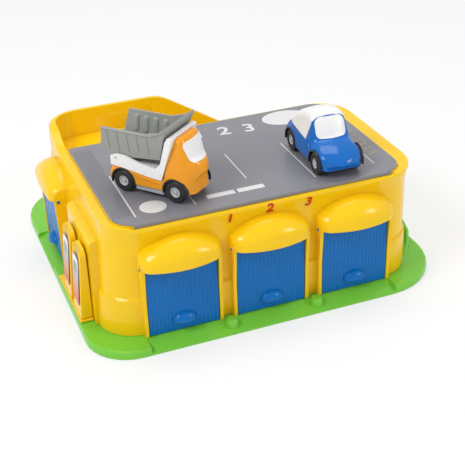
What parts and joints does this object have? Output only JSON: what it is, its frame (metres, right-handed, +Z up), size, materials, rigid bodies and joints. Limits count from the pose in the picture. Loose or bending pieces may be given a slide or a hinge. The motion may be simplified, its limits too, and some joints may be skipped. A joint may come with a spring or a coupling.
{
  "type": "toy garage",
  "caption": "Toy parking garage on a green base with flap doors, a roof deck, a rear ramp, pumps, and a tipping truck and a small car that roll.",
  "frame": {"origin": "middle of the whole part's footprint, on the surface that the base stands on", "axes": "+X to the right along the front doors, +Y towards the ramp at the back, +Z up"},
  "size_m": [0.375, 0.364, 0.2041],
  "materials": {
    "yellow_plastic": "glossy moulded",
    "green_plastic": "glossy moulded",
    "blue_plastic": "glossy moulded",
    "car_blue_plastic": "glossy",
    "orange_plastic": "glossy",
    "white_plastic": "glossy",
    "hub_plastic": "satin",
    "grey_plastic": "satin",
    "black_plastic": "satin",
    "tyre_black": "satin",
    "label_film": "printed film",
    "printed_card": "satin print",
    "steel": "drawn"
  },
  "bodies": {
    "garage": {"base_plate": "green_plastic", "wall_shell": "yellow_plastic", "roof_plate": "yellow_plastic", "deck_card": "printed_card", "rear_ramp": "yellow_plastic", "pump_plinth": "yellow_plastic", "pump_1": "yellow_plastic", "pump_2": "yellow_plastic", "pump_label_1": "label_film", "pump_label_2": "label_film", "base_screw_1": "steel", "base_screw_2": "steel", "base_screw_3": "steel", "base_screw_4": "steel", "base_screw_5": "steel", "base_screw_6": "steel"},
    "door_1": {"front_door_1": "blue_plastic"},
    "door_2": {"front_door_2": "blue_plastic"},
    "door_3": {"front_door_3": "blue_plastic"},
    "door_4": {"side_door": "blue_plastic"},
    "truck": {"truck_body": "orange_plastic", "truck_chassis": "black_plastic", "truck_cradle": "white_plastic", "truck_windscreen": "white_plastic", "truck_bed_pin": "steel"},
    "truck_bed": {"truck_bed": "grey_plastic"},
    "truck_front_wheels": {"truck_front_axle": "steel", "truck_front_left_hub": "hub_plastic", "truck_front_left_tyre": "tyre_black", "truck_front_right_hub": "hub_plastic", "truck_front_right_tyre": "tyre_black"},
    "truck_rear_wheels": {"truck_rear_axle": "steel", "truck_rear_left_hub": "hub_plastic", "truck_rear_left_tyre": "tyre_black", "truck_rear_right_hub": "hub_plastic", "truck_rear_right_tyre": "tyre_black"},
    "car": {"car_body": "car_blue_plastic", "car_chassis": "black_plastic", "car_windscreen": "white_plastic", "car_window_left": "white_plastic", "car_window_right": "white_plastic"},
    "car_front_wheels": {"car_front_axle": "steel", "car_front_left_hub": "hub_plastic", "car_front_left_tyre": "tyre_black", "car_front_right_hub": "hub_plastic", "car_front_right_tyre": "tyre_black"},
    "car_rear_wheels": {"car_rear_axle": "steel", "car_rear_left_hub": "hub_plastic", "car_rear_left_tyre": "tyre_black", "car_rear_right_hub": "hub_plastic", "car_rear_right_tyre": "tyre_black"}
  },
  "joints": [
    {"name": "front_door_1_hinge", "type": "hinge", "parent": "garage", "child": "door_1", "pos_m": [-0.0954, -0.1622, 0.0836], "axis": [-1, 0, 0], "range_deg": [0, 65]},
    {"name": "front_door_2_hinge", "type": "hinge", "parent": "garage", "child": "door_2", "pos_m": [-0.0054, -0.1622, 0.0836], "axis": [-1, 0, 0], "range_deg": [0, 65]},
    {"name": "front_door_3_hinge", "type": "hinge", "parent": "garage", "child": "door_3", "pos_m": [0.0846, -0.1622, 0.0836], "axis": [-1, 0, 0], "range_deg": [0, 65]},
    {"name": "side_door_hinge", "type": "hinge", "parent": "garage", "child": "door_4", "pos_m": [-0.1731, 0.0386, 0.0836], "axis": [0, 1, 0], "range_deg": [0, 65]},
    {"name": "truck_lift", "type": "slide", "parent": "garage", "child": "truck", "axis": [0, 0, 1], "range_m": [0, 0.06]},
    {"name": "truck_front_axle_spin", "type": "hinge", "parent": "truck", "child": "truck_front_wheels", "pos_m": [-0.07131, -0.12079, 0.1398], "axis": [0.7683, 0.6401, 0], "continuous": true},
    {"name": "truck_rear_axle_spin", "type": "hinge", "parent": "truck", "child": "truck_rear_wheels", "pos_m": [-0.1078, -0.077, 0.1398], "axis": [0.7683, 0.6401, 0], "continuous": true},
    {"name": "truck_bed_tip", "type": "hinge", "parent": "truck", "child": "truck_bed", "pos_m": [-0.11164, -0.07239, 0.1635], "axis": [-0.7683, -0.6401, 0], "range_deg": [0, 45]},
    {"name": "car_lift", "type": "slide", "parent": "garage", "child": "car", "axis": [0, 0, 1], "range_m": [0, 0.06]},
    {"name": "car_front_axle_spin", "type": "hinge", "parent": "car", "child": "car_front_wheels", "pos_m": [0.07661, -0.13477, 0.1398], "axis": [0.9995, -0.0332, 0], "continuous": true},
    {"name": "car_rear_axle_spin", "type": "hinge", "parent": "car", "child": "car_rear_wheels", "pos_m": [0.0786, -0.0748, 0.1398], "axis": [0.9995, -0.0332, 0], "continuous": true}
  ]
}
